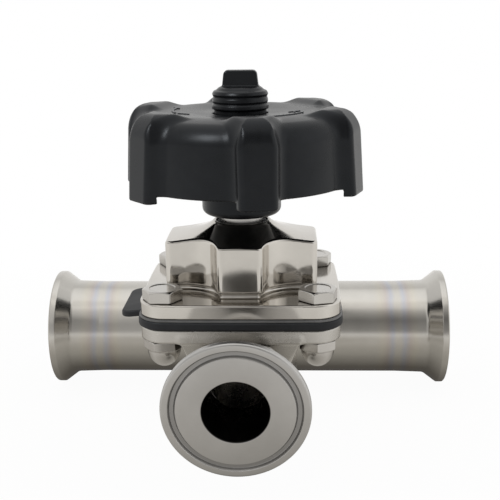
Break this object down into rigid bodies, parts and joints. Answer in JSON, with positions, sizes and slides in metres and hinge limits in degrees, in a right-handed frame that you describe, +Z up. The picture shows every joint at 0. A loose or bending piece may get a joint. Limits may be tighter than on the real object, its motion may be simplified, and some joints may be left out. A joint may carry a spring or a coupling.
{
  "type": "three-way diaphragm valve",
  "caption": "Hygienic three-way diaphragm valve: straight clamp-end run tube, branch valve body with clamp-end outlet, four-bolt bonnet and lobed handwheel.",
  "frame": {"origin": "middle of the run tube, on its axis", "axes": "+X along the run tube, +Z up along the spindle, -Y towards the branch outlet; the spindle axis stands at y = -57.5 mm; shown closed"},
  "size_m": [0.1746, 0.1497, 0.1451],
  "materials": {
    "polished_stainless": "polished stainless steel",
    "satin_stainless": "fine satin stainless steel",
    "fastener_steel": "stainless fastener",
    "black_plastic": "satin moulded black",
    "black_rubber": "moulded rubber",
    "bronze": "turned bronze"
  },
  "bodies": {
    "valve": {"valve_body": "polished_stainless", "run_tube": "satin_stainless", "run_ferrule_right": "satin_stainless", "run_ferrule_left": "satin_stainless", "outlet_ferrule": "satin_stainless", "outlet_tube": "satin_stainless", "diaphragm": "black_rubber", "backing_cushion": "black_rubber", "bonnet": "polished_stainless", "neck_bush": "bronze", "neck_seal": "black_rubber", "thrust_washers": "bronze", "retaining_ring": "fastener_steel", "flange_bolts": "fastener_steel", "dome_nuts": "fastener_steel", "diaphragm_web": "black_rubber"},
    "wheel": {"handwheel": "black_plastic", "wheel_insert": "bronze", "wheel_clip": "fastener_steel", "drive_nut": "bronze"},
    "stem": {"spindle": "fastener_steel", "compressor": "satin_stainless", "compressor_pin": "fastener_steel", "diaphragm_stud": "fastener_steel", "snap_ring": "fastener_steel"},
    "cap": {"indicator_cap": "black_plastic"},
    "stop": {"stop_sleeve": "bronze"}
  },
  "joints": [
    {"name": "wheel_turn", "type": "hinge", "parent": "valve", "child": "wheel", "pos_m": [0, -0.0575, 0.09], "axis": [0, 0, 1], "range_deg": [0, 1008]},
    {"name": "stem_lift", "type": "slide", "parent": "valve", "child": "stem", "axis": [0, 0, 1], "range_m": [0, 0.0084], "deforming": ["diaphragm_web"]},
    {"name": "cap_turn", "type": "hinge", "parent": "stem", "child": "cap", "pos_m": [0, -0.0575, 0.11], "axis": [0, 0, 1], "range_deg": [-180, 180]},
    {"name": "stop_travel", "type": "slide", "parent": "cap", "child": "stop", "axis": [0, 0, 1], "range_m": [-0.00075, 0.00075]}
  ],
  "couplings": [
    {"joint": "wheel_turn", "follows": "stem_lift", "rad_per_m": 2094.4},
    {"joint": "cap_turn", "follows": "stop_travel", "rad_per_m": 4188.8}
  ]
}
